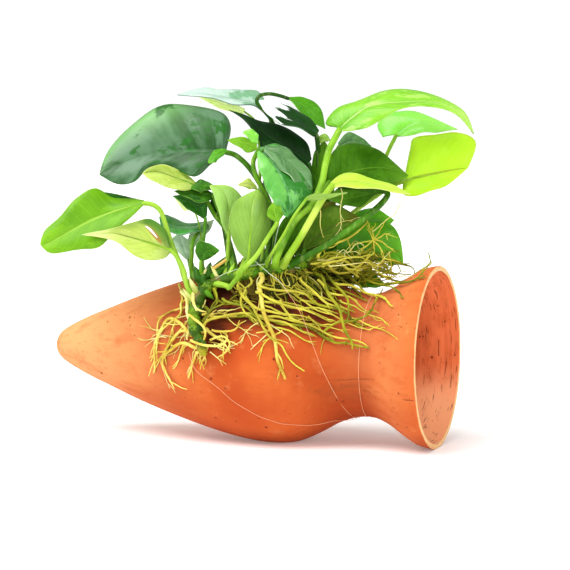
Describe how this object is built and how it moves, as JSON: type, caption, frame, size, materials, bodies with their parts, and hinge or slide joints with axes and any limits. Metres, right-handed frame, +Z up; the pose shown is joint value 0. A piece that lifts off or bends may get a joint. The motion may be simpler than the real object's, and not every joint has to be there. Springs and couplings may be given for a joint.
{
  "type": "anubias on clay amphora",
  "caption": "Broad-leaved aquarium plant with creeping rhizome and hanging roots, tied with clear line to a hollow clay amphora that lies on its side.",
  "frame": {"origin": "on the floor, at the middle of the small worn flat that the amphora's belly rests on", "axes": "+X along the amphora's axis towards its mouth, +Z up, the plant's front towards -Y"},
  "size_m": [0.1906, 0.091, 0.1561],
  "materials": {
    "clay": "matte",
    "rhizome": "satin",
    "root": "satin",
    "line": "gloss",
    "dark_leaf": "gloss",
    "mid_leaf": "satin",
    "bright_leaf": "satin"
  },
  "bodies": {
    "root": {"amphora": "clay", "leaf_bent_stalk": "bright_leaf", "leaf_black_green": "dark_leaf", "leaf_blue_back": "dark_leaf", "leaf_broad_front": "mid_leaf", "leaf_dark_lower": "dark_leaf", "leaf_dark_middle": "dark_leaf", "leaf_great_arch": "bright_leaf", "leaf_great_dark": "dark_leaf", "leaf_green_vault": "mid_leaf", "leaf_hanging_mint": "bright_leaf", "leaf_little_green": "mid_leaf", "leaf_low_left": "bright_leaf", "leaf_low_middle": "mid_leaf", "leaf_mint_right": "bright_leaf", "leaf_pale_edge": "bright_leaf", "leaf_pale_left": "mid_leaf", "leaf_right_lower": "mid_leaf", "leaf_right_upper": "mid_leaf", "leaf_small_dark": "dark_leaf", "leaf_small_yellow": "bright_leaf", "leaf_spike": "bright_leaf", "leaf_teal_edge": "dark_leaf", "leaf_tiny_pale": "bright_leaf", "leaf_top_arc": "bright_leaf", "leaf_under_great": "mid_leaf", "leaf_upright_left": "mid_leaf", "leaf_white_dark": "dark_leaf", "leaf_white_gloss": "bright_leaf", "leaf_yellow_fold": "bright_leaf", "rhizome": "rhizome", "root_left_bundle": "root", "root_left_drop": "root", "root_left_loop": "root", "root_left_strand": "root", "root_long": "root", "root_long_branch": "root", "root_low_sweep": "root", "root_mid_lower": "root", "root_mid_upper": "root", "root_olive_left": "root", "root_right_end": "root", "root_right_fall": "root", "root_right_run": "root", "root_slant": "root", "root_upper_right": "root", "root_upper_run": "root", "root_yellow_stub": "root", "tie_crown": "line", "tie_lower": "line", "tie_neck": "line"}
  },
  "joints": []
}
